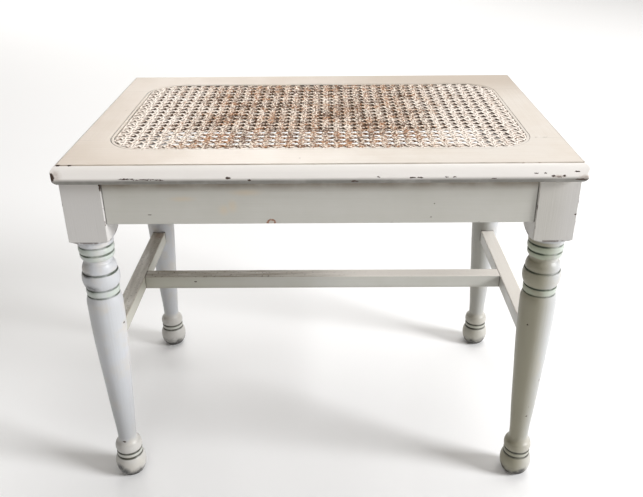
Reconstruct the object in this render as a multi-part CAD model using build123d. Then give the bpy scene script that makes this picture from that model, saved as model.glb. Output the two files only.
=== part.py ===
from build123d import *
import os

# Piano bench with a caned seat: a seat frame on an apron box, four turned legs and an H stretcher.
# Millimetres. X is the width, the front is -Y, the floor is z = 0 and the origin is under the
# middle of the seat. Legs, aprons and braces are drawn at the back right and mirrored.

# ---- Overall size
bench_width = 635.0
bench_depth = 430.0
bench_height = 508.0

# ---- Seat frame
seat_thickness = 25.0
nose_projection = 7.3       # rounded edge, out from the flat top
nose_drop = 12.7            # level of its widest point below the top
nose_quirk = 1.0            # small step between the flat top and the rounded edge
nose_undercut = 8.0         # underside edge, in from the widest point
seat_corner_radius = 4.0
seat_rail_width = 96.0      # front and back boards, over the rounded edge

# ---- Caned panel and its spline
cane_side_margin = 46.9     # seat edge to the outside of the spline, left and right
cane_front_margin = 58.0    # the same at the front and back
cane_corner_radius = 53.0
cane_thickness = 1.6
cane_tuck = 0.8             # compressed cane folded down between the spline and the ledge
cane_set_down = 0.2         # top of the cane below the top of the boards
ledge_width = 18.0          # what the cane rests on, from the groove to the opening
spline_width = 4.3
spline_depth = 8.0
spline_crown = 1.0          # rounding of the spline's two top edges
spline_joint = 0.4          # where the two ends of the strip meet

# ---- Aprons
apron_height = 59.0
apron_thickness = 20.0
apron_setback = 3.0         # apron face behind the face of the leg's block
edge_ease = 1.0             # worn or sanded arrises

# ---- Legs
block_size = 50.0
block_length = 86.0         # underside of the seat to the turned shoulder
leg_side_overhang = 2.1     # seat edge beyond the block, left and right
leg_front_overhang = 17.5   # the same at the front and back
shoulder_radius = 24.0      # where the turned shoulder starts to cut the block's corners
shoulder_rise = 4.2         # how far it climbs by the block's corners
shaft_swell_length = 13.0
shaft_radius = 23.7
shaft_foot_radius = 13.3
ball_radius = 22.4
ball_level = 23.0           # widest point of the ball above the floor
ball_height = 36.8          # where the ball meets the ankle
foot_radius = 9.0           # flat that stands on the floor

# Bands of the turning, downward: length, then radius at the top, the middle and the bottom.
upper_bands = [
    (7.5, 22.7, 23.0, 22.7),    # collar
    (1.9, 22.2, 20.8, 22.0),
    (8.6, 22.2, 23.1, 22.2),    # bead
    (2.0, 22.0, 20.8, 21.9),
    (6.5, 22.0, 22.3, 21.2),    # fillet
    (8.0, 20.0, 17.7, 19.2),    # neck
    (12.0, 19.4, 22.1, 22.3),   # upper bulb
    (1.8, 22.0, 20.9, 22.6),
    (21.7, 23.2, 24.7, 21.4),   # lower bulb
    (2.0, 21.2, 19.9, 21.2),
    (8.5, 21.5, 21.9, 21.5),    # ring
    (2.0, 21.2, 19.9, 21.2),
]
ankle_bands = [
    (8.0, 13.3, 14.4, 17.6),    # flare
    (12.4, 17.8, 19.4, 18.4),   # ankle ring
    (1.8, 18.3, 17.0, 18.2),
    (6.4, 18.4, 18.9, 18.6),    # band
    (1.8, 18.5, 17.3, 18.5),
]
# Taper of the shaft below its swell: share of its length, radius.
shaft_taper = [(0.26, 22.5), (0.54, 19.0), (0.835, 15.2)]

# ---- Stretchers
stretcher_top = 246.6
stretcher_height = 21.0
stretcher_width = 22.0
side_tenon_radius = 7.5
side_tenon_length = 18.0    # depth in the leg, from the shaft's widest radius
centre_tenon_radius = 6.0
centre_tenon_length = 14.0

# ---- Corner braces
brace_thickness = 20.0
brace_height = 40.0
brace_leg_gap = 1.5         # brace clear of the block's inside corner

# ---- Pegs and screws
dowel_radius = 4.0
dowel_length = 40.0
dowel_chamfer = 1.0
seat_dowel_pitch = 22.0
seat_dowel_edge = 15.5      # seat's edge to the outer dowel
apron_dowel_pitch = 29.0
brace_screw_radius = 2.0
brace_screw_bite = 15.0     # how far it goes into the apron
seat_screw_radius = 2.25
seat_screw_bite = 10.0      # how far it goes into the seat
screw_point = 6.0           # length of a screw's tapered end
screw_tip_radius = 0.4
head_ratio = 2.0            # head radius to shank radius
head_recess = 0.4           # head below the brace's face
slot_width = 1.0
slot_depth = 1.6

# ---- Clearances
fit_gap = 0.1               # round things in their holes, on the radius
end_gap = 1.0               # room past the end of a peg, tenon or screw in its hole
face_gap = 0.05             # between two curved faces that lie against each other

# ---- Worked out from the sizes above
seat_underside = bench_height - seat_thickness
shoulder_level = seat_underside - block_length
leg_x = bench_width / 2 - leg_side_overhang - block_size / 2
leg_y = bench_depth / 2 - leg_front_overhang - block_size / 2
block_inner_x = leg_x - block_size / 2
block_inner_y = leg_y - block_size / 2
apron_x = leg_x + block_size / 2 - apron_setback - apron_thickness / 2
apron_y = leg_y + block_size / 2 - apron_setback - apron_thickness / 2
apron_inner_x = apron_x - apron_thickness / 2
apron_inner_y = apron_y - apron_thickness / 2
stretcher_level = stretcher_top - stretcher_height / 2
rail_joint_y = bench_depth / 2 - seat_rail_width
groove_width = spline_width + cane_tuck + 2 * fit_gap
groove_floor = bench_height - spline_depth - end_gap
ledge_top = bench_height - cane_set_down - cane_thickness
opening_inset = groove_width + ledge_width
brace_level = seat_underside - brace_height / 2
brace_outer_sum = block_inner_x + block_inner_y - brace_leg_gap * 2 ** 0.5
brace_inner_sum = brace_outer_sum - brace_thickness * 2 ** 0.5
brace_middle_sum = (brace_outer_sum + brace_inner_sum) / 2
brace_screw_sunk = brace_screw_radius * head_ratio + head_recess
brace_screw_length = brace_middle_sum - brace_inner_sum - brace_screw_sunk + brace_screw_bite
seat_screw_length = brace_height - head_recess + seat_screw_bite
tenon_reach = side_tenon_length + block_size / 2 - shaft_radius     # past the block's inner face
clear = 1.0                 # overrun of a cutting shape past what it cuts
above_all = bench_height + clear


# ---- Shared shapes
def plug(inset, low, high):
    """Solid with the caned panel's plan outline, drawn in by inset, between two levels."""
    width = bench_width - 2 * (cane_side_margin + inset)
    depth = bench_depth - 2 * (cane_front_margin + inset)
    outline = RectangleRounded(width, depth, cane_corner_radius - inset)
    return Pos(0, 0, low) * extrude(outline, high - low)


def ring(outer_inset, inner_inset, low, high):
    return plug(outer_inset, low, high) - plug(inner_inset, low - clear, high + clear)


def box_between(low_corner, high_corner):
    """Box between two opposite corners."""
    size = [high - low for low, high in zip(low_corner, high_corner)]
    middle = [(high + low) / 2 for low, high in zip(low_corner, high_corner)]
    return Pos(*middle) * Box(*size)


def rod(radius, length):
    """Cylinder along +Z whose middle is at the origin."""
    return Cylinder(radius, length)


def dowel():
    peg = rod(dowel_radius, dowel_length)
    return chamfer(peg.edges().filter_by(GeomType.CIRCLE), dowel_chamfer)


def screw(shank_radius, length, growth=0.0):
    """Countersunk screw along +Z with the top of its head at the origin; growth makes its hole."""
    head = shank_radius * head_ratio + growth
    shank = shank_radius + growth
    outline = Polyline(
        (0, 0), (head, 0), (shank, head - shank), (shank, length - screw_point),
        (screw_tip_radius + growth, length + growth), (0, length + growth), close=True,
    )
    return revolve(Plane.XZ * make_face(outline), Axis.Z)


def slotted_screw(shank_radius, length):
    head = shank_radius * head_ratio
    slot = Box(2 * head + clear, slot_width, slot_depth)
    return screw(shank_radius, length) - slot


def screw_hole(shank_radius, length):
    """Hole for a screw, open above its head for the screwdriver."""
    head = shank_radius * head_ratio + fit_gap
    way_in = Pos(0, 0, -brace_thickness / 2) * rod(head, brace_thickness)
    return screw(shank_radius, length, fit_gap) + way_in


def mirrored(shape, right, back):
    """Copy of a back right shape on another side: right and back are 1 or -1."""
    if right < 0:
        shape = mirror(shape, Plane.YZ)
    if back < 0:
        shape = mirror(shape, Plane.XZ)
    return shape


def all_four(shapes):
    return [mirrored(shape, right, back) for shape in shapes for right in (1, -1) for back in (1, -1)]


def carve(shape, tools):
    for tool in tools:
        shape = shape - tool
    return shape


# ---- Where pegs and screws go, at the back right
along_x = Rot(0, 90, 0)
along_y = Rot(-90, 0, 0)


def seat_dowel_places():
    """Across the joint between a long board and an end board."""
    level = seat_underside + seat_thickness / 2
    outer = bench_width / 2 - seat_dowel_edge
    return [Pos(outer - step * seat_dowel_pitch, rail_joint_y, level) * along_y for step in (0, 1)]


def apron_dowel_places():
    """From the back and side aprons into the leg's block."""
    middle = seat_underside - apron_height / 2
    places = []
    for side in (-1, 1):
        level = middle + side * apron_dowel_pitch / 2
        places.append(Pos(block_inner_x, apron_y, level) * along_x)
        places.append(Pos(apron_x, block_inner_y, level) * along_y)
    return places


def brace_screw_places():
    """Through each end of a brace, square to the apron; the head is sunk in the slanted face."""
    at_back = brace_middle_sum - apron_inner_y
    at_side = brace_middle_sum - apron_inner_x
    head_y = brace_inner_sum - at_back + brace_screw_sunk
    head_x = brace_inner_sum - at_side + brace_screw_sunk
    return [
        Pos(at_back, head_y, brace_level) * along_y,
        Pos(head_x, at_side, brace_level) * along_x,
    ]


def seat_screw_places():
    """Up through the middle of a brace."""
    skew = block_inner_x - block_inner_y
    head_level = seat_underside - brace_height + head_recess
    return [Pos((brace_middle_sum + skew) / 2, (brace_middle_sum - skew) / 2, head_level)]


def dowel_holes(places):
    return [place * rod(dowel_radius + fit_gap, dowel_length + 2 * end_gap) for place in places]


def screw_holes(places, radius, length):
    return [place * screw_hole(radius, length) for place in places]


# ---- Seat
def seat_section(span):
    """Section of the seat, span wide over its two rounded edges."""
    widest = span / 2
    flat_edge = widest - nose_projection
    nose_level = bench_height - nose_drop
    upper_radius = nose_drop - nose_quirk
    lower_radius = seat_thickness - nose_drop
    with BuildSketch() as section:
        with BuildLine():
            Line((0, seat_underside), (widest - nose_undercut, seat_underside))
            EllipticalCenterArc((widest - nose_undercut, nose_level), nose_undercut, lower_radius,
                                start_angle=-90, arc_size=90)
            EllipticalCenterArc((flat_edge, nose_level), nose_projection, upper_radius,
                                start_angle=0, arc_size=90)
            Line((flat_edge, bench_height - nose_quirk), (flat_edge, bench_height))
            Line((flat_edge, bench_height), (0, bench_height))
            mirror(about=Plane.YZ)
        make_face()
    return section.sketch


def seat_slab():
    """All four boards as one, with mitred mouldings, the groove, the ledge and the opening."""
    lengthwise = extrude(Plane.YZ * seat_section(bench_depth), bench_width / 2, both=True)
    crosswise = extrude(Plane.XZ * seat_section(bench_width), bench_depth / 2, both=True)
    plan = extrude(RectangleRounded(bench_width, bench_depth, seat_corner_radius), above_all)
    slab = lengthwise & crosswise & plan
    groove = ring(0, groove_width, groove_floor, above_all)
    ledge = plug(groove_width, ledge_top, above_all)
    opening = plug(opening_inset, seat_underside - clear, above_all)
    return carve(slab, [groove, ledge, opening])


def seat_boards():
    slab = seat_slab()
    dowels = dowel_holes(all_four_places(seat_dowel_places()))
    screws = all_four(screw_holes(seat_screw_places(), seat_screw_radius, seat_screw_length))
    back_zone = box_between((-bench_width, rail_joint_y, 0), (bench_width, bench_depth, above_all))
    end_zone = box_between((0, -rail_joint_y, 0), (bench_width, rail_joint_y, above_all))
    back = carve(slab & back_zone, dowels + screws)
    right = carve(slab & end_zone, dowels)
    return {
        "seat_rail_back": back,
        "seat_rail_front": mirror(back, Plane.XZ),
        "seat_end_right": right,
        "seat_end_left": mirror(right, Plane.YZ),
    }


def cane_webbing():
    """Woven cane as a plain sheet, folded down into the groove round its edge."""
    sheet = plug(groove_width + face_gap, ledge_top, ledge_top + cane_thickness)
    outer = groove_width - cane_tuck
    tuck = ring(outer, groove_width - face_gap, groove_floor + end_gap / 2, ledge_top + cane_thickness)
    rim = ring(outer, groove_width + clear, ledge_top, ledge_top + cane_thickness)
    return sheet + tuck + rim


def cane_spline():
    """Strip wedged into the groove, rounded on top, its two ends meeting at the back."""
    strip = ring(fit_gap, fit_gap + spline_width, bench_height - spline_depth, bench_height)
    top = strip.faces().sort_by(Axis.Z)[-1]
    strip = fillet(top.edges(), spline_crown)
    joint = box_between((-spline_joint / 2, 0, 0), (spline_joint / 2, bench_depth, above_all))
    return strip - joint


# ---- Legs and stretchers
def band_lines(bands, level):
    """Chain of arcs down the side of a turning, with a flat step wherever the radius jumps."""
    lines = []
    last = None
    for length, top, middle, bottom in bands:
        if last is not None and last != top:
            lines.append(Line((last, level), (top, level)))
        low = level - length
        lines.append(ThreePointArc((top, level), (middle, level - length / 2), (bottom, low)))
        level = low
        last = bottom
    return lines, level


def turned_outline():
    """Right half of the turning, from the shoulder to the floor, closed along its axis."""
    ankle_length = sum(band[0] for band in ankle_bands)
    ball_top_radius = ankle_bands[-1][3]
    ankle_top = ball_height + ankle_length
    upper, shaft_top = band_lines(upper_bands, shoulder_level)
    ankle, _ = band_lines(ankle_bands, ankle_top)
    swell = shaft_top - shaft_swell_length
    taper_length = swell - ankle_top
    taper = [(shaft_radius, swell)]
    taper += [(radius, swell - share * taper_length) for share, radius in shaft_taper]
    taper += [(shaft_foot_radius, ankle_top)]
    shaft = [
        TangentArc((shaft_radius, swell), (upper_bands[-1][3], shaft_top), tangent=(0, 1)),
        Spline(*taper, tangents=[(0, -1), (0, -1)]),
    ]
    foot = [
        TangentArc((ball_radius, ball_level), (ball_top_radius, ball_height), tangent=(0, 1)),
        EllipticalCenterArc((foot_radius, ball_level), ball_radius - foot_radius, ball_level,
                            start_angle=-90, arc_size=90),
    ]
    closing = [
        Line((foot_radius, 0), (0, 0)),
        Line((0, 0), (0, shoulder_level)),
        Line((0, shoulder_level), (upper_bands[0][1], shoulder_level)),
    ]
    lines = upper + shaft + ankle + foot + closing
    return make_face(Wire([edge for line in lines for edge in line.edges()]))


def leg_body():
    """Block and turning as one piece about its own axis."""
    turning = revolve(Plane.XZ * turned_outline(), Axis.Z)
    square = Pos(0, 0, shoulder_level) * extrude(Rectangle(block_size, block_size), block_length)
    square = chamfer(square.edges().filter_by(Axis.Z), edge_ease)
    corner = block_size / 2 ** 0.5
    cone = Polyline(
        (0, shoulder_level), (shoulder_radius, shoulder_level), (corner, shoulder_level + shoulder_rise),
        (corner, seat_underside), (0, seat_underside), close=True,
    )
    return turning + (square & revolve(Plane.XZ * make_face(cone), Axis.Z))


def leg(body):
    """Back right leg with the holes for its apron dowels and its stretcher."""
    placed = Pos(leg_x, leg_y, 0) * body
    depth = tenon_reach + end_gap
    mortise = Pos(leg_x, leg_y - block_size / 2 + depth / 2, stretcher_level) * along_y
    mortise = mortise * rod(side_tenon_radius + fit_gap, depth)
    return carve(placed, dowel_holes(apron_dowel_places()) + [mortise])


def side_stretcher(body):
    """Right stretcher: coped to both legs, with a round tenon at each end."""
    bar = Box(stretcher_width, 2 * leg_y, stretcher_height)
    bar = Pos(leg_x, 0, stretcher_level) * chamfer(bar.edges().filter_by(Axis.Y), edge_ease)
    bar = carve(bar, [Pos(leg_x, side * leg_y, 0) * scaled_leg(body) for side in (-1, 1)])
    length = 2 * (block_inner_y + tenon_reach)
    tenon = Pos(leg_x, 0, stretcher_level) * along_y * rod(side_tenon_radius, length)
    bar = largest(bar) + tenon
    depth = centre_tenon_length + end_gap
    inner = leg_x - stretcher_width / 2
    mortise = Pos(inner + depth / 2, 0, stretcher_level) * along_x
    return bar - mortise * rod(centre_tenon_radius + fit_gap, depth)


def scaled_leg(body):
    """The leg grown a little about its axis, to cope the stretcher's shoulder."""
    growth = (shaft_radius + face_gap) / shaft_radius
    return scale(body, (growth, growth, 1))


def largest(shape):
    return shape.solids().sort_by(SortBy.VOLUME)[-1]


def centre_stretcher():
    inner = leg_x - stretcher_width / 2
    bar = Box(2 * inner, stretcher_width, stretcher_height)
    bar = chamfer(bar.edges().filter_by(Axis.X), edge_ease)
    tenon = along_x * rod(centre_tenon_radius, 2 * (inner + centre_tenon_length))
    return Pos(0, 0, stretcher_level) * (bar + tenon)


# ---- Aprons and braces
def apron(length, at_x, at_y, turned):
    bar = Box(length, apron_thickness, apron_height)
    lower_edges = bar.edges().filter_by(Axis.X).group_by(Axis.Z)[0]
    bar = chamfer(lower_edges, edge_ease)
    level = seat_underside - apron_height / 2
    return Pos(at_x, at_y, level) * Rot(0, 0, 90 if turned else 0) * bar


def aprons():
    dowels = dowel_holes(all_four_places(apron_dowel_places()))
    screws = all_four(screw_holes(brace_screw_places(), brace_screw_radius, brace_screw_length))
    back = carve(apron(2 * block_inner_x, 0, apron_y, False), dowels + screws)
    right = carve(apron(2 * block_inner_y, apron_x, 0, True), dowels + screws)
    return {
        "apron_back": back,
        "apron_front": mirror(back, Plane.XZ),
        "apron_right": right,
        "apron_left": mirror(right, Plane.YZ),
    }


def corner_brace():
    """Diagonal block behind the leg, its ends flat against the two aprons."""
    plan = Polyline(
        (brace_outer_sum - apron_inner_y, apron_inner_y),
        (apron_inner_x, brace_outer_sum - apron_inner_x),
        (apron_inner_x, brace_inner_sum - apron_inner_x),
        (brace_inner_sum - apron_inner_y, apron_inner_y),
        close=True,
    )
    brace = Pos(0, 0, seat_underside - brace_height) * extrude(make_face(plan), brace_height)
    holes = screw_holes(brace_screw_places(), brace_screw_radius, brace_screw_length)
    holes += screw_holes(seat_screw_places(), seat_screw_radius, seat_screw_length)
    return carve(brace, holes)


# ---- Groups of pegs and screws
def all_four_places(places):
    """The same places on all four sides; pegs look alike when mirrored, so they only move."""
    spots = []
    for place in places:
        x, y, z = place.position
        turn = Rot(*place.orientation)
        spots += [Pos(right * x, back * y, z) * turn for right in (1, -1) for back in (1, -1)]
    return spots


def dowels(places):
    return Part() + [place * dowel() for place in all_four_places(places)]


def screws(places, radius, length):
    return Part() + all_four([place * slotted_screw(radius, length) for place in places])


# ---- The whole bench
def bench():
    parts = seat_boards()
    parts.update(aprons())
    parts["cane_webbing"] = cane_webbing()
    parts["cane_spline"] = cane_spline()
    body = leg_body()
    back_right_leg = leg(body)
    back_right_brace = corner_brace()
    for right, side in ((1, "right"), (-1, "left")):
        for back, end in ((1, "back"), (-1, "front")):
            parts[f"leg_{end}_{side}"] = mirrored(back_right_leg, right, back)
            parts[f"corner_brace_{end}_{side}"] = mirrored(back_right_brace, right, back)
    right_stretcher = side_stretcher(body)
    parts["stretcher_right"] = right_stretcher
    parts["stretcher_left"] = mirror(right_stretcher, Plane.YZ)
    parts["stretcher_centre"] = centre_stretcher()
    parts["seat_dowels"] = dowels(seat_dowel_places())
    parts["apron_dowels"] = dowels(apron_dowel_places())
    parts["brace_screws"] = screws(brace_screw_places(), brace_screw_radius, brace_screw_length)
    parts["seat_screws"] = screws(seat_screw_places(), seat_screw_radius, seat_screw_length)
    return parts


os.makedirs("parts", exist_ok=True)
for name, shape in bench().items():
    export_step(shape, f"parts/{name}.step")
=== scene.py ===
"""Looks of the caned piano bench: paint, glaze, wear and painted shade on the wooden parts, and a woven
cane panel with painted shade on its strands' sides.

Everything is in metres, in the row frame: +X right, -Y front, z = 0 the floor.
"""
import math
import random

import bpy
from mathutils import Euler, Matrix, Vector


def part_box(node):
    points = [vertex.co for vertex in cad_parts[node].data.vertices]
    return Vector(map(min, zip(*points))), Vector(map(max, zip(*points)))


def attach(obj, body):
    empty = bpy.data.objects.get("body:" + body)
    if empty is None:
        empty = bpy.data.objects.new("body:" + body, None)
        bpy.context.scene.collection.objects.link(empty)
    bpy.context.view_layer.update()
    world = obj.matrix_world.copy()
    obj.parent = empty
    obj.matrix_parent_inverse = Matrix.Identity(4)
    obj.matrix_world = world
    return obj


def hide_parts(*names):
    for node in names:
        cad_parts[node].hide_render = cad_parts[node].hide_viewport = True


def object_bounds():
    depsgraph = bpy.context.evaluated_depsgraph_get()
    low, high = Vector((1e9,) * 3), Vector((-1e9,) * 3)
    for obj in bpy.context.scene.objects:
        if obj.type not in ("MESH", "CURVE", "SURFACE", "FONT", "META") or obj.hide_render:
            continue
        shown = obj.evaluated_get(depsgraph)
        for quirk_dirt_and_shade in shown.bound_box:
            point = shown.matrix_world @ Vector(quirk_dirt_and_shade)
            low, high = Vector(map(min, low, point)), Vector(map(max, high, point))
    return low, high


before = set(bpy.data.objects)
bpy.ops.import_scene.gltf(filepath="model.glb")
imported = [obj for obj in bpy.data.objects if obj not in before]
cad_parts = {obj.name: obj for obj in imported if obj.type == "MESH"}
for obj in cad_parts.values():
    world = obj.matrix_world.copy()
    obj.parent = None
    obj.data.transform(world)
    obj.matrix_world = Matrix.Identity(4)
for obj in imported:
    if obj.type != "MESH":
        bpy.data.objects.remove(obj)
cad_low, cad_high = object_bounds()
MM = 0.001

# ---- Sizes taken from the frame
seat_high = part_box("seat_rail_front")[1]
joint_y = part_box("seat_end_right")[1].y         # where a long seat board meets an end board
spline_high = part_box("cane_spline")[1]
cane_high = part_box("cane_webbing")[1]
apron_low, apron_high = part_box("apron_back")
side_apron_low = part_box("apron_right")[0]
stretcher_low, stretcher_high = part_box("stretcher_centre")
side_bar_low, side_bar_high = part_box("stretcher_right")
leg_low, leg_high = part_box("leg_back_right")
leg_axis = (leg_low + leg_high) / 2
block_half = (leg_high.x - leg_low.x) / 2
bar_half = (side_bar_high.x - side_bar_low.x) / 2

# ---- Sizes of the design that the frame's boxes don't give
nose_projection = 7.3 * MM      # rounded edge of the seat, out from its flat top
panel_corner = 53 * MM          # plan radius of the spline's outside
spline_width = 4.3 * MM
ledge_level = seat_high.z - 1.8 * MM    # ledge that carries the cane's edge
ledge_width = 18 * MM
shoulder_level = 397 * MM       # where the legs' blocks end and the turning starts
shaft_radius = 23 * MM          # of a leg, where a side stretcher meets it
upper_grooves = [level * MM for level in (388.5, 378, 349.6, 326, 315.5)]
foot_grooves = [level * MM for level in (45.9, 37.7)]
glazed_bands = [level * MM for level in (383, 373.5, 321, 42)]     # their middles
groove_half = 1.0 * MM
foot_groove_half = 1.3 * MM
ankle_low = 62 * MM
ankle_high = 74 * MM
paint_relief = 0.35 * MM
ragged_by = 3 * MM              # how far the edge of a painted mark wanders

# ---- Colours, linear
seat_cream = (0.82, 0.765, 0.70)
seat_cream_deep = (0.70, 0.625, 0.54)
seat_dull_shade = (0.53, 0.435, 0.345)
nose_cream = (0.82, 0.795, 0.77)
# Apron paint: the seat's paint made much darker, as painted shade.
apron_cream_shaded = (0.485, 0.477, 0.445)
apron_cream_deep_shaded = (0.43, 0.422, 0.38)
apron_stain = (0.58, 0.43, 0.25)
knot_rim = (0.22, 0.09, 0.04)
rust = (0.36, 0.17, 0.08)
# Leg paint: the seat's paint made much darker, as painted shade.
leg_white_shaded = (0.50, 0.515, 0.545)
leg_white_deep_shaded = (0.45, 0.455, 0.46)
block_cream = (0.52, 0.50, 0.475)
leg_cream = (0.53, 0.48, 0.40)
foot_cream = (0.46, 0.44, 0.395)
low_shade_grey = (0.33, 0.335, 0.34)
leg_shade_yellow = (0.27, 0.255, 0.185)
mint = (0.40, 0.48, 0.37)
glaze_green = (0.08, 0.10, 0.07)
# Stretcher paint: the seat's paint made much darker, as painted shade.
bar_cream_shaded = (0.52, 0.517, 0.485)
bar_cream_deep_shaded = (0.455, 0.45, 0.40)
bar_shaded = (0.36, 0.345, 0.27)
# Lit copy of the stretcher paint for its top face: painted light.
bar_top_lit = (0.84, 0.80, 0.74)
bar_grime = (0.27, 0.24, 0.175)
bare_brown = (0.045, 0.022, 0.012)
worn_brown = (0.26, 0.17, 0.12)
# Dark brown for old dirt, also used as painted shade under the seat's overhang and in the nosing's quirk.
old_dirt_and_shade = (0.15, 0.115, 0.075)
# Near-black for grime, also used as painted shade under the nosing and in the spline's grooves.
dark_grime_and_shade = (0.065, 0.063, 0.048)
near_black = (0.022, 0.022, 0.02)
wood_light = (0.095, 0.056, 0.031)
wood_dark = (0.05, 0.028, 0.015)
wood_pore = (0.03, 0.017, 0.009)
cane_white = (0.96, 0.895, 0.83)
cane_cream = (0.88, 0.77, 0.67)
cane_aged = (0.72, 0.64, 0.55)
cane_thin_paint = (0.86, 0.68, 0.50)
cane_grime = (0.20, 0.14, 0.09)
cane_low_shade = (0.12, 0.075, 0.045)
cane_brown_dark = (0.105, 0.042, 0.014)
cane_brown_light = (0.43, 0.19, 0.07)
cane_bare_shaded_dark = (0.055, 0.022, 0.007)
cane_bare_shaded_light = (0.19, 0.082, 0.027)
steel_dark = (0.22, 0.20, 0.18)
steel_light = (0.42, 0.40, 0.37)
floor_pale = (0.92, 0.92, 0.92)
floor_duller = (0.91, 0.91, 0.91)
room_light = (1.0, 0.96, 0.90)
daylight = (0.98, 0.985, 1.0)
lamplight = (1.0, 0.99, 0.98)
warm_lamplight = (1.0, 0.985, 0.96)

# ---- Marks placed one by one, in mm: centre x, y, z, then half sizes
front_edge_chips = [
    (-107, -215, 493.0, 3.8, 3, 1.9), (-82.5, -214, 490, 2.2, 3, 1.4), (42, -213, 487.6, 4.6, 4, 1.4),
    (70, -215, 493.5, 2.4, 3, 0.9), (110, -215, 492.4, 4.0, 3, 1.2), (119, -215, 492.3, 3.6, 3, 1.0),
    (150, -215, 492.8, 2.8, 3, 0.8), (159, -215, 492.8, 2.4, 3, 0.7), (205, -214, 490.6, 3.4, 3, 0.8),
    (254, -215, 497, 2.8, 3, 0.8), (264, -215, 497, 2.2, 3, 1.0), (274, -215, 493.5, 2.8, 3, 1.5),
    (281, -215, 491.8, 3.4, 3, 0.8), (287, -215, 493.5, 2.0, 3, 1.3), (301, -215, 498.8, 3.4, 3, 0.8),
    (308, -213, 488.5, 8, 4, 1.2), (-307.7, -208, 507.4, 2.8, 1.6, 1.2), (-294, -208, 507.0, 2.4, 1.6, 1.2),
    (312, -202, 507, 1.6, 1.6, 1.4), (-316, -214, 495, 4.6, 5, 6),
]
edge_scratches = [
    (-226, -215, 492.2, 12, 3, 1.0), (-203, -215, 491.5, 11, 3, 1.1), (-188, -215, 490.8, 7, 3, 0.9),
    (-215, -215, 490.9, 7, 3, 0.5),
]
corner_wear = [
    (-311, -212, 496, 11, 7, 9), (311, -213, 492, 9, 6, 5), (281, -215, 492.6, 11, 3, 3),
    (239, -208, 507.3, 3, 1.2, 1.2), (258.5, -208, 507.2, 3, 1.2, 1.2),
]
seat_top_marks = [
    (277, -117, 508, 2.4, 0.7, 2), (288, -117, 508, 3.4, 0.7, 2), (-23, -189, 508, 0.9, 0.9, 2),
    (-281.6, 15.8, 508, 0.9, 0.9, 2),
]
# Where the dirt and painted shade along the spline are strongest.
dark_spline_corner = [(-262, -128, 508, 40, 50, 10)]
apron_stains = [
    (-118, -194, 443, 9, 6, 10), (-107, -194, 448, 8, 6, 12), (-168, -194, 458, 22, 6, 5),
    (-90, -194, 466, 26, 6, 6),
]
apron_specks = [
    (140.7, -194.5, 450.5, 0.9, 3, 0.9), (137, -194.5, 432, 1.2, 3, 0.8), (-210, -194.5, 437, 3, 3, 0.7),
]
knot = [(-60, -194.5, 426, 6.5, 5, 5)]
knot_middle = [(-60, -194.5, 426, 3.9, 5, 2.8)]
leg_chips = [
    (-267.7, -178, 269.7, 1.8, 1.8, 1.8), (275.8, -190.4, 271.3, 1.3, 1.3, 1.3),
    (-292, -186, 66.3, 3.0, 3, 1.0), (304.3, -185.5, 176, 1.0, 1.4, 2.2),
    (294, -189, 131.4, 0.8, 1.4, 0.8), (293, -188, 113.8, 2.0, 1.4, 0.8),
    (313.4, -197.5, 436, 1.4, 1.4, 1.2), (-266, -196.5, 476, 1.6, 2.0, 7),
]
foot_patches = [
    (-304, -193, 20, 12, 12, 11), (-297, -196, 13, 14, 13, 13), (-289, -194, 5, 15, 12, 11),
    (297, -195, 15, 10, 8, 7), (290, -191, 8, 12, 8, 6), (277, -189, 8, 13, 9, 6),
]
# Dark patches over the lower part of a bead on the front left leg.
bead_dark_patches = [(-301, -194, 330, 17, 14, 9), (-303, -190, 350, 10, 14, 5)]
leg_stains = [(-309, -184, 358, 5, 9, 7), (-285, -195, 40, 16, 8, 5), (306, -190, 168, 6, 8, 22)]
left_bar_patch = [(-287, 138, 246.6, 13, 17, 3)]
centre_bar_chip = [(-200, -11, 238, 2.4, 3, 1.0)]
front_flaking = [(0, -100, 503, 200, 42, 40)]

# ---- Sizes of the woven cane
columns = 35                    # holes along X
rows = 20                       # holes along Y
pitch_x = 15.16 * MM
pitch_y = 15.53 * MM
half_x = columns * pitch_x / 2
half_y = rows * pitch_y / 2
straight_width = 2.7 * MM
straight_spread = 1.5 * MM      # each strand of a pair, from the pair's middle
slant_width = 3.3 * MM
cane_strip = 0.95 * MM          # thickness of a strand
weave_lift = 0.5 * MM           # how far a strand of a pair rises and dips
slant_lift = 0.75 * MM
panel_sag = 1.5 * MM            # dip of the panel's middle
edge_drop = 3.0 * MM            # how far a strand's end turns down into the groove
cane_level = cane_high.z - 0.8 * MM
field_gap = 0.3 * MM            # the weave stops this short of the plain panel's edge
field_half = Vector((cane_high.x - field_gap, cane_high.y - field_gap))
field_corner = 47 * MM
# A strand's section from its underside round to its crown: across and up, as shares of the width
# and thickness, and 1 where the cane's cut side was never painted, a side that is also darkened as painted
# shade.
strand_section = (
    (-0.5, -0.5, 1), (0.5, -0.5, 1), (0.5, 0.0, 1), (0.40, 0.34, 0),
    (0.0, 0.5, 0), (-0.40, 0.34, 0), (-0.5, 0.0, 1),
)

# ---- Camera
camera_place = (0.0117, -1.0206, 0.8111)
camera_yaw = math.radians(0.658)
camera_pitch = math.radians(26.956)         # downwards
camera_roll = math.radians(-0.58)
camera_lens = 41.16
camera_shift = (-0.0005, -0.0019)


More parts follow.
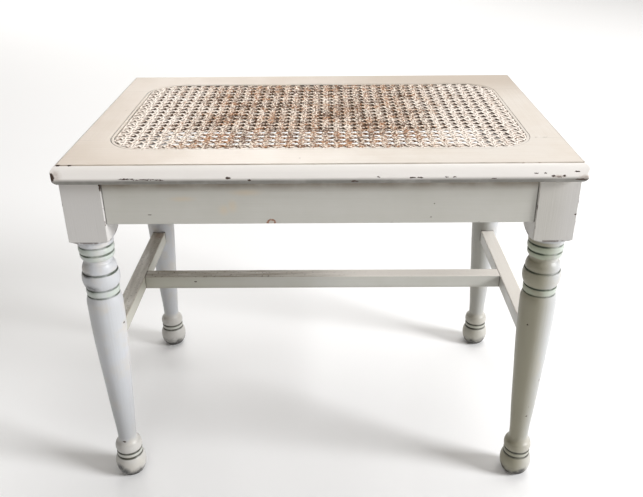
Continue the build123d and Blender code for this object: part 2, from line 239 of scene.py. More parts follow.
# ---- Node graphs
class Graph:
    """One material's node tree, built with short calls. Sockets and numbers mix freely."""

    def __init__(self, name):
        self.material = bpy.data.materials.new(name)
        self.material.use_nodes = True
        self.tree = self.material.node_tree
        self.tree.nodes.clear()
        self.output = self.tree.nodes.new("ShaderNodeOutputMaterial")
        self.place = self.tree.nodes.new("ShaderNodeTexCoord").outputs["Object"]
        self.ragged = None
        split = self.node("ShaderNodeSeparateXYZ", Vector=self.place)
        self.x, self.y, self.z = split.outputs

    def node(self, kind, settings=None, **inputs):
        made = self.tree.nodes.new(kind)
        for name, value in (settings or {}).items():
            setattr(made, name, value)
        for name, value in inputs.items():
            self.feed(made.inputs[name.replace("_", " ")], value)
        return made

    def feed(self, socket, value):
        if isinstance(value, bpy.types.NodeSocket):
            self.tree.links.new(value, socket)
        else:
            socket.default_value = value

    def math(self, operation, *values):
        made = self.tree.nodes.new("ShaderNodeMath")
        made.operation = operation
        for socket, value in zip(made.inputs, values):
            self.feed(socket, value)
        return made.outputs[0]

    def vector_math(self, operation, *values):
        made = self.node("ShaderNodeVectorMath", {"operation": operation})
        for socket, value in zip(made.inputs, values):
            self.feed(socket, value)
        return made

    def product(self, *values):
        total = values[0]
        for value in values[1:]:
            total = self.math("MULTIPLY", total, value)
        return total

    def most(self, *values):
        total = values[0]
        for value in values[1:]:
            total = self.math("MAXIMUM", total, value)
        return total

    def size_of(self, value):
        return self.math("ABSOLUTE", value)

    def beyond(self, value, edge):
        return self.math("SUBTRACT", value, edge)

    def smooth(self, value, low, high, start=0.0, end=1.0):
        """Eases from start to end as value goes from low to high."""
        made = self.node("ShaderNodeMapRange", {"interpolation_type": "SMOOTHSTEP"})
        for name, entry in (("Value", value), ("From Min", low), ("From Max", high),
                            ("To Min", start), ("To Max", end)):
            self.feed(made.inputs[name], entry)
        return made.outputs[0]

    def fade(self, value, low, high, start=1.0):
        """Eases from start to 0 as value goes from low to high."""
        return self.smooth(value, low, high, start, 0.0)

    def near(self, value, middle, reach, soft=0.5):
        """1 within reach of middle, easing to 0 over a share of reach more."""
        return self.fade(self.size_of(self.beyond(value, middle)), reach, reach * (1 + soft))

    def noise(self, scale, detail=3.0, roughness=0.5, stretch=None, distortion=0.0, seed=0.0):
        vector = self.place
        if stretch:
            vector = self.node("ShaderNodeMapping", Vector=self.place, Scale=stretch).outputs[0]
        made = self.node("ShaderNodeTexNoise", {"noise_dimensions": "4D"}, Vector=vector, W=seed)
        made.inputs["Scale"].default_value = scale
        made.inputs["Detail"].default_value = detail
        made.inputs["Roughness"].default_value = roughness
        made.inputs["Distortion"].default_value = distortion
        return made.outputs["Fac"]

    def swing(self, scale, detail, roughness):
        """Noise about 0."""
        return self.beyond(self.noise(scale, detail, roughness), 0.5)

    def broken(self, scale, low, high, seed=0.0, floor=0.0):
        """Patchy strength from floor, where the noise is below low, to 1, where it is above high."""
        return self.smooth(self.noise(scale, 3.0, 0.6, seed=seed), low, high, floor, 1.0)

    def mix(self, share, first, second):
        """Colour from first to second."""
        made = self.node("ShaderNodeMix", {"data_type": "RGBA"})
        self.feed(made.inputs[0], share)
        for socket, value in ((made.inputs[6], first), (made.inputs[7], second)):
            self.feed(socket, value if isinstance(value, bpy.types.NodeSocket) else (*value, 1.0))
        return made.outputs[2]

    def ragged_place(self):
        """The object's coordinates with a small wobble, made once for all of a material's marks."""
        if self.ragged is None:
            wobble = self.node("ShaderNodeTexNoise", Vector=self.place, Scale=420.0, Detail=3.0)
            away = self.vector_math("SUBTRACT", wobble.outputs["Color"], (0.5, 0.5, 0.5))
            reach = (ragged_by, ragged_by, ragged_by)
            self.ragged = self.vector_math("MULTIPLY_ADD", away.outputs[0], reach, self.place).outputs[0]
        return self.ragged

    def spots(self, marks, core=0.75):
        """1 within core of a mark's ragged ellipsoid, easing to 0 at its edge. Marks are in mm."""
        return self.most(*(self.spot(mark[:3], mark[3:], core) for mark in marks))

    def spot(self, centre, size, core):
        place = self.node("ShaderNodeMapping", {"vector_type": "TEXTURE"}, Vector=self.ragged_place())
        place.inputs["Location"].default_value = Vector(centre) * MM
        place.inputs["Scale"].default_value = Vector(size) * MM
        away = self.vector_math("LENGTH", place.outputs[0]).outputs["Value"]
        return self.fade(away, core, 1.05)

    def panel_distance(self):
        """Distance out from the outside of the cane's spline, in plan."""
        reach = (spline_high.x - panel_corner, spline_high.y - panel_corner)
        sides = []
        for value, edge in ((self.x, reach[0]), (self.y, reach[1])):
            sides.append(self.most(self.beyond(self.size_of(value), edge), 0.0))
        squares = [self.product(side, side) for side in sides]
        return self.beyond(self.math("SQRT", self.math("ADD", *squares)), panel_corner)

    def bump(self, height, distance):
        return self.node("ShaderNodeBump", Height=height, Distance=distance).outputs["Normal"]

    def finish(self, colour, roughness, normal, coat=0.0, specular=0.5, metallic=0.0):
        shader = self.node("ShaderNodeBsdfPrincipled", Roughness=roughness, Normal=normal)
        self.feed(shader.inputs["Base Color"], colour)
        shader.inputs["Coat Weight"].default_value = coat
        shader.inputs["Coat Roughness"].default_value = 0.3
        shader.inputs["Specular IOR Level"].default_value = specular
        shader.inputs["Metallic"].default_value = metallic
        self.feed(self.output.inputs["Surface"], shader.outputs[0])
        return self.material


# ---- Wood and paint
def along(axis, fine=420.0, coarse=9.0):
    """Noise scale of strokes or grain that run along one axis."""
    return tuple(coarse if name == axis else fine for name in "xyz")


def raw_wood(graph, axis):
    """Colour of unpainted, aged hardwood with its grain along one axis."""
    rings = graph.noise(1.0, 6.0, 0.62, stretch=along(axis, 210.0, 9.0), distortion=0.6)
    pores = graph.noise(1.0, 2.0, 0.5, stretch=along(axis, 1500.0, 40.0), seed=2.0)
    colour = graph.mix(graph.smooth(rings, 0.3, 0.7), wood_light, wood_dark)
    return graph.mix(graph.smooth(pores, 0.6, 0.72, 0.0, 0.5), colour, wood_pore)


def brushed_paint(graph, pale, deep, axis, soil):
    """Colour, roughness and relief of hand-brushed paint, with strokes along one axis."""
    streaks = graph.noise(1.0, 4.0, 0.6, stretch=along(axis))
    cloud = graph.noise(9.0, 4.0, 0.6, seed=3.0)
    fine = graph.noise(900.0, 2.0, 0.5)
    share = graph.math("ADD", graph.smooth(cloud, 0.35, 0.7), graph.smooth(streaks, 0.3, 0.75, 0.0, 0.5))
    colour = graph.mix(graph.product(share, 0.6), pale, deep)
    speck = graph.smooth(graph.noise(260.0, 3.0, 0.7, seed=9.0), 0.66, 0.74)
    patch = graph.broken(22.0, 0.5, 0.75, seed=5.0)
    colour = graph.mix(graph.product(speck, patch, soil), colour, old_dirt_and_shade)
    height = graph.math("ADD", graph.product(streaks, 0.7), graph.product(fine, 0.12))
    roughness = graph.smooth(cloud, 0.3, 0.7, 0.36, 0.52)
    return colour, roughness, height


def chipped(graph, colour, roughness, height, chips):
    """Paint gone down to dark wood where chips is 1."""
    colour = graph.mix(chips, colour, bare_brown)
    roughness = graph.most(roughness, graph.product(chips, 0.8))
    height = graph.beyond(height, graph.product(chips, 1.2))
    return colour, roughness, height


def bared(graph, colour, roughness, bare, axis):
    """Paint that gives way to raw wood where bare is 1."""
    colour = graph.mix(bare, colour, raw_wood(graph, axis))
    return colour, graph.most(roughness, graph.product(bare, 0.75))


# ---- Seat
def aged_and_shaded_seat(graph, colour, inward, nosing):
    """Paint that turns duller and darker to the left and the back, partly its own tone and partly painted
    shade; dirt and painted shade in the quirk inside the nosing, and painted shade under it.
    """
    colour = graph.mix(graph.product(nosing, 0.8), colour, nose_cream)
    # Painted shade, partly the paint's own warmer tone: the top darkens to the left and the back.
    shade_to_left = graph.smooth(graph.x, 0.12, -0.3, 0.0, 0.65)
    shade_to_back = graph.smooth(graph.y, 0.05, 0.18, 0.0, 0.65)
    on_top = graph.fade(nosing, 0.0, 1.0)
    colour = graph.mix(graph.product(graph.most(shade_to_left, shade_to_back), on_top), colour, seat_dull_shade)
    # Dirt and painted shade in the quirk where the flat top meets the nosing.
    quirk_dirt_and_shade = graph.near(inward, nose_projection, 0.5 * MM, 1.6)
    quirk_dirt_and_shade = graph.product(quirk_dirt_and_shade, graph.broken(14.0, 0.3, 0.65, 1.0, 0.35), 0.5)
    colour = graph.mix(quirk_dirt_and_shade, colour, old_dirt_and_shade)
    # Painted shade under the nosing: a near-black band below its widest point.
    under = graph.fade(graph.z, seat_high.z - 20 * MM, seat_high.z - 14 * MM, 0.97)
    under = graph.product(nosing, under, graph.broken(40.0, 0.25, 0.6, 7.0, 0.85), 0.9)
    return graph.mix(under, colour, dark_grime_and_shade)


def seat_lines(graph, colour, outward):
    """Dirt in the boards' joints, dirt and painted shade along both edges of the spline, and small marks on
    top.
    """
    joint = graph.near(graph.size_of(graph.y), joint_y, 0.25 * MM, 0.8)
    outside_panel = graph.smooth(outward, 0.0, 1 * MM)
    joint = graph.product(joint, outside_panel, graph.broken(10.0, 0.4, 0.6, 6.0), 0.5)
    colour = graph.mix(joint, colour, old_dirt_and_shade)
    # Dirt and painted shade in the narrow grooves along both edges of the spline.
    outer_edge = graph.near(outward, 0.0, 0.32 * MM, 0.9)
    inner_edge = graph.near(outward, -spline_width, 0.3 * MM, 0.9)
    amount = graph.most(graph.broken(15.0, 0.38, 0.62, 8.0, 0.25), graph.spots(dark_spline_corner, 0.2))
    spline_dirt_and_shade = graph.product(graph.most(outer_edge, inner_edge), amount, 0.85)
    colour = graph.mix(spline_dirt_and_shade, colour, dark_grime_and_shade)
    return graph.mix(graph.product(graph.spots(seat_top_marks), 0.8), colour, old_dirt_and_shade)


def seat_chips(graph, nosing):
    """Chips of the nosing: placed ones along the front, and scattered ones along the other edges."""
    worn = graph.product(graph.broken(90.0, 0.62, 0.67, 4.0), graph.broken(7.0, 0.5, 0.62, 2.0), nosing)
    worn = graph.product(worn, graph.smooth(graph.y, -0.20, -0.19))
    scratches = graph.product(graph.spots(edge_scratches), graph.broken(380.0, 0.43, 0.49, 3.0))
    return graph.most(graph.spots(front_edge_chips), scratches, worn)


def bare_and_shaded_seat(graph, to_side, to_end, outward):
    """1 under the seat inside the aprons and on the wall of its opening, where the wood is bare, and on the
    ledge at the back, where bare wood is painted shade.
    """
    side_edge = cad_high.x - side_apron_low.x
    end_edge = cad_high.y - apron_low.y
    inside = graph.product(graph.smooth(to_side, side_edge - 2 * MM, side_edge),
                           graph.smooth(to_end, end_edge - 2 * MM, end_edge))
    below = graph.fade(graph.z, apron_high.z, apron_high.z + 0.4 * MM)
    opening = -spline_width - ledge_width
    under_ledge = graph.fade(graph.z, ledge_level - 0.8 * MM, ledge_level - 0.3 * MM)
    wall = graph.product(graph.fade(outward, opening + 0.6 * MM, opening + 1 * MM), under_ledge)
    # Painted shade: the ledge under the back of the cane is dark bare wood, while the ledge at the front
    # and sides stays painted.
    shade_at_back = graph.smooth(graph.y, spline_high.y - 32 * MM, spline_high.y - 28 * MM)
    inside_spline = graph.fade(outward, -spline_width - 0.6 * MM, -spline_width - 0.2 * MM)
    under_top = graph.fade(graph.z, seat_high.z - 1.2 * MM, seat_high.z - 0.8 * MM)
    ledge = graph.product(shade_at_back, inside_spline, under_top)
    return graph.most(graph.product(below, inside), wall, ledge)


def seat_paint(name, axis):
    """Paint of a seat board that runs along one axis."""
    graph = Graph(name)
    colour, roughness, height = brushed_paint(graph, seat_cream, seat_cream_deep, axis, soil=0.2)
    to_side = graph.beyond(cad_high.x, graph.size_of(graph.x))
    to_end = graph.beyond(cad_high.y, graph.size_of(graph.y))
    inward = graph.math("MINIMUM", to_side, to_end)
    nosing = graph.fade(inward, 0.85 * nose_projection, nose_projection)
    outward = graph.panel_distance()
    colour = aged_and_shaded_seat(graph, colour, inward, nosing)
    colour = seat_lines(graph, colour, outward)
    halo = graph.product(graph.spots(corner_wear, 0.1), graph.broken(160.0, 0.3, 0.6, 5.0, 0.4), 0.7)
    colour = graph.mix(halo, colour, worn_brown)
    colour, roughness, height = chipped(graph, colour, roughness, height, seat_chips(graph, nosing))
    # Bare wood under the seat and in its opening, and painted shade on the back ledge.
    bare = bare_and_shaded_seat(graph, to_side, to_end, outward)
    colour, roughness = bared(graph, colour, roughness, bare, axis)
    return graph.finish(colour, roughness, graph.bump(height, paint_relief), coat=0.12)


# ---- Aprons
def apron_paint(name, axis):
    """Paint of an apron that runs along one axis: its outside is painted, its inside is bare."""
    graph = Graph(name)
    colour, roughness, height = brushed_paint(graph, apron_cream_shaded, apron_cream_deep_shaded, axis, soil=0.3)
    # Painted shadow of the seat's overhang, with some dirt: the apron darkens towards its top.
    shade = graph.smooth(graph.z, apron_high.z - 18 * MM, apron_high.z - 2 * MM, 0.0, 0.9)
    shade = graph.product(shade, graph.broken(30.0, 0.3, 0.6, 2.0, 0.6))
    colour = graph.mix(shade, colour, old_dirt_and_shade)
    if axis == "x":
        from_block = graph.beyond(leg_low.x, graph.size_of(graph.x))
        inner = graph.fade(graph.size_of(graph.y), apron_low.y + 1 * MM, apron_low.y + 2 * MM)
    else:
        from_block = graph.beyond(leg_low.y, graph.size_of(graph.y))
        inner = graph.fade(graph.size_of(graph.x), side_apron_low.x + 1 * MM, side_apron_low.x + 2 * MM)
    seam = graph.fade(from_block, 0.4 * MM, 1.7 * MM)
    seam = graph.product(seam, graph.broken(60.0, 0.35, 0.55, 1.0, 0.65), 0.9)
    colour = graph.mix(seam, colour, near_black)
    colour = graph.mix(graph.product(graph.spots(apron_stains, 0.0), 0.32), colour, apron_stain)
    whole_knot = graph.spots(knot)
    rim = graph.beyond(whole_knot, graph.spots(knot_middle))
    colour = graph.mix(graph.product(whole_knot, 0.12), colour, rust)
    colour = graph.mix(graph.product(rim, graph.broken(250.0, 0.3, 0.45, 2.0)), colour, knot_rim)
    low_edge = graph.fade(graph.z, apron_low.z, apron_low.z + 3 * MM)
    chips = graph.product(graph.broken(150.0, 0.66, 0.7, 4.0), low_edge)
    chips = graph.product(graph.most(graph.spots(apron_specks), chips), 0.8)
    colour, roughness, height = chipped(graph, colour, roughness, height, chips)
    colour, roughness = bared(graph, colour, roughness, inner, axis)
    return graph.finish(colour, roughness, graph.bump(height, paint_relief), coat=0.08)


# ---- Legs
def leg_tints_and_shade(graph, colour, block, turned, out_x):
    """Warmer blocks and feet, painted shade greying the shafts low down, and painted shade on the inner
    sides of the right legs.
    """
    colour = graph.mix(graph.product(block, 0.8), colour, block_cream)
    warm = graph.product(graph.broken(26.0, 0.48, 0.7, 6.0), turned, 0.5)
    colour = graph.mix(warm, colour, leg_cream)
    above_foot = graph.smooth(graph.z, ankle_low, ankle_high)
    colour = graph.mix(graph.fade(above_foot, 0.0, 1.0, 0.7), colour, foot_cream)
    # Painted shade: the shafts grey and darken low down, where less light reaches them.
    low_leg_shade = graph.fade(graph.z, 60 * MM, 280 * MM, 0.75)
    less_at_back = graph.smooth(graph.y, -0.1, 0.1, 1.0, 0.65)
    colour = graph.mix(graph.product(low_leg_shade, less_at_back, above_foot), colour, low_shade_grey)
    # Painted shade: a dark warm colour on the inner, shaded sides of the right legs.
    inner_side = graph.smooth(out_x, -10 * MM, 20 * MM, 1.0, 0.2)
    on_right = graph.smooth(graph.x, 0, 0.1)
    less_at_back = graph.smooth(graph.y, -0.1, 0.1, 1.0, 0.6)
    right_leg_shade = graph.product(inner_side, on_right, graph.most(turned, 0.3), less_at_back)
    return graph.mix(right_leg_shade, colour, leg_shade_yellow)


def leg_glaze(graph, colour):
    """Green glaze in the turned grooves and thinly on the bands between them, and dark patches on a bead of
    the front left leg.
    """
    bands = graph.most(*(graph.near(graph.z, level, 4 * MM) for level in glazed_bands))
    faint_on_foot = graph.smooth(graph.z, 60 * MM, 100 * MM, 0.2, 0.5)
    bands = graph.product(bands, graph.broken(45.0, 0.3, 0.6, 8.0, 0.1), faint_on_foot)
    colour = graph.mix(bands, colour, mint)
    grooves = graph.most(*(graph.near(graph.z, level, groove_half, 1.4)
                           for level in upper_grooves + foot_grooves))
    grooves = graph.product(grooves, graph.broken(42.0, 0.36, 0.64, 11.0, 0.25), 0.95)
    colour = graph.mix(grooves, colour, glaze_green)
    dirty = graph.most(*(graph.near(graph.z, level, foot_groove_half, 1.2) for level in foot_grooves))
    dirty = graph.product(dirty, graph.broken(42.0, 0.3, 0.6, 11.0, 0.6), 0.85)
    colour = graph.mix(dirty, colour, dark_grime_and_shade)
    # Dark patches over the lower part of a bead on the front left leg.
    bead_patches = graph.product(graph.spots(bead_dark_patches, 0.3), graph.broken(120.0, 0.3, 0.6, 2.0, 0.5), 0.85)
    colour = graph.mix(bead_patches, colour, near_black)
    return graph.mix(graph.product(graph.spots(leg_stains, 0.0), 0.35), colour, worn_brown)


def leg_paint():
    """Paint of the legs: green glaze left in the turned grooves, dark wear under the feet."""
    graph = Graph("leg_paint")
    colour, roughness, height = brushed_paint(graph, leg_white_shaded, leg_white_deep_shaded, "z", soil=0.3)
    block = graph.smooth(graph.z, shoulder_level, shoulder_level + 5 * MM)
    turned = graph.fade(graph.z, shoulder_level - 4 * MM, shoulder_level)
    out_x = graph.beyond(graph.size_of(graph.x), leg_axis.x)
    out_y = graph.beyond(graph.size_of(graph.y), leg_axis.y)
    colour = leg_tints_and_shade(graph, colour, block, turned, out_x)
    colour = leg_glaze(graph, colour)
    shoulder = graph.near(graph.z, shoulder_level + 2.4 * MM, 0.9 * MM, 1.0)
    shoulder = graph.product(shoulder, graph.broken(60.0, 0.46, 0.56, 5.0), 0.7)
    colour = graph.mix(shoulder, colour, bare_brown)
    under_foot = graph.math("ADD", graph.z, graph.product(graph.swing(70.0, 4.0, 0.65), 40 * MM))
    under_foot = graph.fade(under_foot, 4 * MM, 24 * MM, 0.97)
    patches = graph.product(graph.spots(foot_patches, 0.3), graph.broken(300.0, 0.34, 0.56, 9.0, 0.75))
    colour = graph.mix(graph.most(under_foot, patches), colour, near_black)
    roughness = graph.most(roughness, graph.product(under_foot, 0.8))
    nearest_side = graph.math("MINIMUM", graph.size_of(out_x), graph.size_of(out_y))
    arris = graph.smooth(nearest_side, block_half - 1.6 * MM, block_half - 0.6 * MM)
    arris = graph.product(arris, graph.broken(110.0, 0.56, 0.62, 7.0), block, 0.8)
    chips = graph.most(graph.spots(leg_chips), arris)
    colour, roughness, height = chipped(graph, colour, roughness, height, chips)
    height = graph.beyond(height, graph.product(patches, 0.8))
    return graph.finish(colour, roughness, graph.bump(height, paint_relief), coat=0.15)


# ---- Stretchers
def stretcher_paint(name, axis, soil_left, soil_right):
    """Paint of a stretcher, its top face painted lighter than its sides as painted light, with grime on the
    top face which changes from the left to the right.
    """
    graph = Graph(name)
    colour, roughness, height = brushed_paint(graph, bar_cream_shaded, bar_cream_deep_shaded, axis, soil=0.5)
    colour = graph.mix(graph.smooth(graph.x, 0, -0.24, 0.0, 0.55), colour, bar_shaded)
    top = graph.smooth(graph.z, stretcher_high.z - 1.3 * MM, stretcher_high.z - 0.7 * MM)
    # Painted light: the top face is painted much lighter than the sides.
    colour = graph.mix(graph.product(top, 0.9), colour, bar_top_lit)
    reach = stretcher_high.x / 3
    amount = graph.smooth(graph.x, -reach, reach, soil_left, soil_right)
    smudge = graph.noise(1.0, 5.0, 0.65, stretch=along(axis, 150.0, 14.0), seed=4.0)
    grime = graph.product(top, amount, graph.smooth(smudge, 0.3, 0.6, 0.55, 1.0))
    colour = graph.mix(grime, colour, bar_grime)
    colour = graph.mix(graph.product(graph.spots(left_bar_patch, 0.3), 0.55), colour, worn_brown)
    specks = graph.product(top, graph.broken(240.0, 0.58, 0.66, 6.0), amount, 0.7)
    colour = graph.mix(specks, colour, bare_brown)
    low_edge = graph.fade(graph.z, stretcher_low.z, stretcher_low.z + 5 * MM, 0.3)
    colour = graph.mix(low_edge, colour, old_dirt_and_shade)
    roughness = graph.most(roughness, graph.product(grime, 0.75))
    from_middle = graph.size_of(graph.x if axis == "x" else graph.y)
    end = leg_axis.x - bar_half if axis == "x" else leg_axis.y - shaft_radius
    seam = graph.smooth(from_middle, end - 1.6 * MM, end, 0.0, 0.8)
    seam = graph.product(seam, graph.broken(80.0, 0.3, 0.5, 2.0, 0.4))
    chips = graph.most(seam, graph.spots(centre_bar_chip))
    colour, roughness, height = chipped(graph, colour, roughness, height, chips)
    return graph.finish(colour, roughness, graph.bump(height, paint_relief), coat=0.08)


# ---- Hidden wood and steel
def bare_wood():
    graph = Graph("bare_wood")
    grain = graph.noise(1.0, 4.0, 0.6, stretch=along("x", 300.0, 12.0))
    return graph.finish(raw_wood(graph, "x"), 0.7, graph.bump(grain, 0.3 * MM))


def screw_steel():
    graph = Graph("screw_steel")
    worn = graph.noise(600.0, 3.0)
    roughness = graph.smooth(worn, 0.3, 0.7, 0.35, 0.6)
    relief = graph.bump(worn, 0.05 * MM)
    return graph.finish(graph.mix(worn, steel_dark, steel_light), roughness, relief, metallic=1.0)


# ---- Woven cane
def cane_wear(graph, tone):
    """How far the paint is gone: most over the panel's middle and its front."""
    from_middle = graph.size_of(graph.beyond(graph.x, -15 * MM))
    worn = graph.smooth(from_middle, 110 * MM, 255 * MM, 0.50, 0.385)
    worn = graph.math("ADD", worn, graph.product(graph.spots(front_flaking, 0.3), 0.035))
    worn = graph.math("ADD", worn, graph.product(graph.swing(20.0, 3.0, 0.65), 0.30))
    return graph.math("ADD", worn, graph.product(graph.beyond(tone, 0.5), 0.05))


def cane_paint():
    """White paint on cane, flaked off in specks that crowd together over the middle."""
    graph = Graph("cane_paint")
    tone = graph.node("ShaderNodeAttribute", {"attribute_name": "tone"}).outputs["Fac"]
    side = graph.node("ShaderNodeAttribute", {"attribute_name": "side"}).outputs["Fac"]
    worn = cane_wear(graph, tone)
    flakes = graph.noise(330.0, 3.0, 0.72)
    flaked = graph.smooth(graph.beyond(flakes, graph.beyond(1.0, worn)), -0.006, 0.012)
    shade = graph.smooth(graph.noise(45.0, 3.0, 0.7, seed=4.0), 0.4, 0.62)
    brown = graph.mix(shade, cane_brown_dark, cane_brown_light)
    pale = graph.mix(graph.noise(30.0, 3.0, 0.6, seed=2.0), cane_white, cane_cream)
    pale = graph.mix(graph.product(tone, 0.15), pale, cane_aged)
    pale = graph.mix(graph.smooth(worn, 0.38, 0.56, 0.0, 0.55), pale, cane_thin_paint)
    grime = graph.smooth(graph.noise(420.0, 3.0, 0.6, seed=6.0), 0.62, 0.68, 0.0, 0.6)
    pale = graph.mix(grime, pale, cane_grime)
    low = graph.fade(graph.z, cane_level - 2.6 * MM, cane_level - 1.2 * MM, 0.4)
    colour = graph.mix(low, graph.mix(flaked, pale, brown), cane_low_shade)
    # Unpainted cut sides of the strands, made darker than bare cane as painted shade in the holes.
    uneven = graph.math("ADD", side, graph.product(graph.beyond(flakes, 0.5), 0.9))
    bare = graph.mix(graph.noise(90.0), cane_bare_shaded_dark, cane_bare_shaded_light)
    colour = graph.mix(graph.smooth(uneven, 0.62, 0.82), colour, bare)
    height = graph.beyond(graph.product(graph.noise(700.0, 3.0), 0.4), flaked)
    return graph.finish(colour, 0.55, graph.bump(height, 0.15 * MM))


def outside_field(x, y):
    """Distance outside the panel's rounded outline; negative inside."""
    over_x = abs(x) - (field_half.x - field_corner)
    over_y = abs(y) - (field_half.y - field_corner)
    beyond = math.hypot(max(over_x, 0), max(over_y, 0))
    return beyond + min(max(over_x, over_y), 0) - field_corner


def sag(x, y):
    """Dip of the panel, most in its middle and none at its edge."""
    return -panel_sag * max(0, 1 - (x / field_half.x) ** 2) * max(0, 1 - (y / field_half.y) ** 2)


def wave(height, axis, start, length):
    """Rise of a strand over the weave's middle level: a wave along X (axis 0) or Y (axis 1)."""
    return lambda spot: height * math.cos(2 * math.pi * (spot[axis] - start) / length)


class Weave:
    """Collects flat strands as one mesh."""

    def __init__(self):
        self.points = []
        self.faces = []
        self.tones = []
        self.sides = []

    def strand(self, start, direction, length, width, lift, step, tone):
        """A strand along a straight plan line, cut off at the panel's edge; lift gives its rise."""
        count = int(length / step)
        inside = [i for i in range(count + 1) if outside_field(*(start + direction * (i * step))) < 0]
        if len(inside) < 3:
            return
        route = []
        for i in range(inside[0], inside[-1] + 1):
            spot = start + direction * (i * step)
            route.append((spot, cane_level + lift(spot) + sag(*spot)))
        self.sweep(self.tucked(route, direction), Vector((-direction.y, direction.x)), width, tone)

    def sweep(self, route, side, width, tone):
        """Carries the section along a route of plan points and levels, and closes both ends."""
        first = len(self.points)
        for spot, level in route:
            for across, up, bare in strand_section:
                edge = spot + side * (across * width)
                self.points.append((edge.x, edge.y, level + up * cane_strip))
                self.tones.append(tone)
                self.sides.append(bare)
        ring = len(strand_section)
        for i in range(len(route) - 1):
            low = first + i * ring
            for k in range(ring):
                after = (k + 1) % ring
                self.faces.append((low + k, low + after, low + ring + after, low + ring + k))
        last = first + (len(route) - 1) * ring
        self.faces.append(tuple(first + k for k in reversed(range(ring))))
        self.faces.append(tuple(last + k for k in range(ring)))

    def tucked(self, route, direction):
        """Adds an end at each side of the panel that turns down into the groove."""
        low = cane_level - edge_drop
        start = self.rim(route[0][0], -direction)
        end = self.rim(route[-1][0], direction)
        return [(start, low)] + route + [(end, low)]

    def rim(self, inner, direction):
        """Where a line from a point inside leaves the panel, found by halving."""
        near, far = 0.0, 12 * MM
        for _ in range(12):
            middle = (near + far) / 2
            if outside_field(*(inner + direction * middle)) < 0:
                near = middle
            else:
                far = middle
        return inner + direction * far

    def mesh_object(self, name):
        mesh = bpy.data.meshes.new(name)
        mesh.from_pydata(self.points, [], self.faces)
        mesh.attributes.new("tone", "FLOAT", "POINT").data.foreach_set("value", self.tones)
        mesh.attributes.new("side", "FLOAT", "POINT").data.foreach_set("value", self.sides)
        mesh.polygons.foreach_set("use_smooth", [True] * len(mesh.polygons))
        mesh.update()
        made = bpy.data.objects.new(name, mesh)
        bpy.context.scene.collection.objects.link(made)
        return made


def woven_cane():
    """Six-way weave: pairs along X and Y, and single strands along both diagonals between the holes."""
    chance = random.Random(7)
    weave = Weave()
    step = pitch_x / 6
    for k in range(columns + 1):
        for side in (-1, 1):
            start = Vector((-half_x + k * pitch_x + side * straight_spread, -half_y - pitch_y))
            lift = wave(side * weave_lift, 1, -half_y, 2 * pitch_y)
            length = 2 * half_y + 2 * pitch_y
            weave.strand(start, Vector((0, 1)), length, straight_width, lift, step, chance.random())
    for k in range(rows + 1):
        for side in (-1, 1):
            start = Vector((-half_x - pitch_x, -half_y + k * pitch_y + side * straight_spread))
            lift = wave(-side * weave_lift, 0, -half_x, 2 * pitch_x)
            length = 2 * half_x + 2 * pitch_x
            weave.strand(start, Vector((1, 0)), length, straight_width, lift, step, chance.random())
    slope = Vector((pitch_x, pitch_y)).normalized()
    span = math.hypot(pitch_x, pitch_y)
    for side in (-1, 1):
        direction = Vector((side * slope.x, slope.y))
        lift = wave(side * slant_lift, 0, -half_x, pitch_x)
        for k in range(-rows - 1, columns + rows + 2):
            foot = -half_x + (k + 0.5) * pitch_x
            start = Vector((side * foot, -half_y)) - direction * span
            weave.strand(start, direction, (rows + 2) * span, slant_width, lift, span / 8, chance.random())
    return weave.mesh_object("cane_weave")


# ---- Which piece wears what
def dress_frame():
    """Gives every CAD node its material, chosen by how its name starts."""
    seat_long = seat_paint("seat_paint_long", "x")
    seat_short = seat_paint("seat_paint_short", "y")
    apron_long = apron_paint("apron_paint_long", "x")
    apron_short = apron_paint("apron_paint_short", "y")
    centre = stretcher_paint("stretcher_paint_centre", "x", soil_left=0.88, soil_right=0.10)
    left = stretcher_paint("stretcher_paint_left", "y", soil_left=0.70, soil_right=0.70)
    right = stretcher_paint("stretcher_paint_right", "y", soil_left=0.04, soil_right=0.04)
    wood = bare_wood()
    steel = screw_steel()
    chosen = {
        "seat_rail": seat_long, "seat_end": seat_short, "cane_spline": seat_long,
        "apron_front": apron_long, "apron_back": apron_long,
        "apron_left": apron_short, "apron_right": apron_short,
        "leg_": leg_paint(),
        "stretcher_centre": centre, "stretcher_left": left, "stretcher_right": right,
        "corner_brace": wood, "seat_dowels": wood, "apron_dowels": wood,
        "brace_screws": steel, "seat_screws": steel, "cane_webbing": wood,
    }
    for node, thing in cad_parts.items():
        material = next(chosen[start] for start in chosen if node.startswith(start))
        thing.data.materials.clear()
        thing.data.materials.append(material)


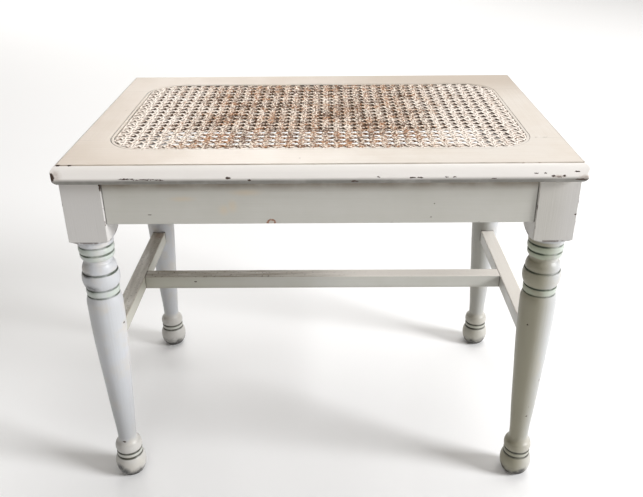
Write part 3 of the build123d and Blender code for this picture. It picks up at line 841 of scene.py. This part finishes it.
# ---- Studio
def area_light(name, place, target, size, power, colour):
    data = bpy.data.lights.new(name, "AREA")
    data.shape = "DISK"
    data.size = size
    data.energy = power
    data.color = colour
    light = bpy.data.objects.new(name, data)
    light.location = place
    light.rotation_euler = (Vector(target) - Vector(place)).to_track_quat("-Z", "Y").to_euler()
    bpy.context.scene.collection.objects.link(light)


def floor_material():
    graph = Graph("floor")
    shade = graph.mix(graph.noise(3.0), floor_pale, floor_duller)
    return graph.finish(shade, 0.9, graph.bump(graph.noise(200.0), 0.1 * MM), specular=0.1)


def pale_floor(reach):
    mesh = bpy.data.meshes.new("floor")
    corners = [(-reach, -reach, 0), (reach, -reach, 0), (reach, reach, 0), (-reach, reach, 0)]
    mesh.from_pydata(corners, [], [(0, 1, 2, 3)])
    mesh.materials.append(floor_material())
    floor = bpy.data.objects.new("floor", mesh)
    bpy.context.scene.collection.objects.link(floor)


def studio():
    """A window light from the right, soft light from above and behind, a weak fill and a dim room."""
    bpy.context.scene.view_settings.view_transform = "Standard"
    world = bpy.data.worlds.new("studio")
    bpy.context.scene.world = world
    world.use_nodes = True
    background = world.node_tree.nodes["Background"]
    background.inputs["Color"].default_value = (*room_light, 1.0)
    background.inputs["Strength"].default_value = 0.26
    bench = (0, 0, 0.3)
    area_light("window", (4.6, -1.6, 2.4), bench, size=1.8, power=318, colour=daylight)
    area_light("overhead", (1.2, 1.6, 4.2), (0.6, 1.2, 0), size=3.4, power=88, colour=lamplight)
    area_light("background", (-1.2, 5.6, 3.2), (-1.4, 5.2, 0), size=3.0, power=125, colour=lamplight)
    area_light("front", (-0.2, -3.0, 2.8), bench, size=1.6, power=14, colour=warm_lamplight)
    pale_floor(8.0)


def camera():
    data = bpy.data.cameras.new("camera")
    data.lens = camera_lens
    data.shift_x, data.shift_y = camera_shift
    turn = Euler((math.pi / 2 - camera_pitch, 0, camera_yaw), "XYZ").to_matrix()
    turn = turn @ Matrix.Rotation(camera_roll, 3, "Z")
    made = bpy.data.objects.new("camera", data)
    made.matrix_world = Matrix.Translation(camera_place) @ turn.to_4x4()
    bpy.context.scene.collection.objects.link(made)
    bpy.context.scene.camera = made


studio()
camera()
dress_frame()
cane = woven_cane()
cane.data.materials.append(cane_paint())
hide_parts("cane_webbing")
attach(cane, "root")
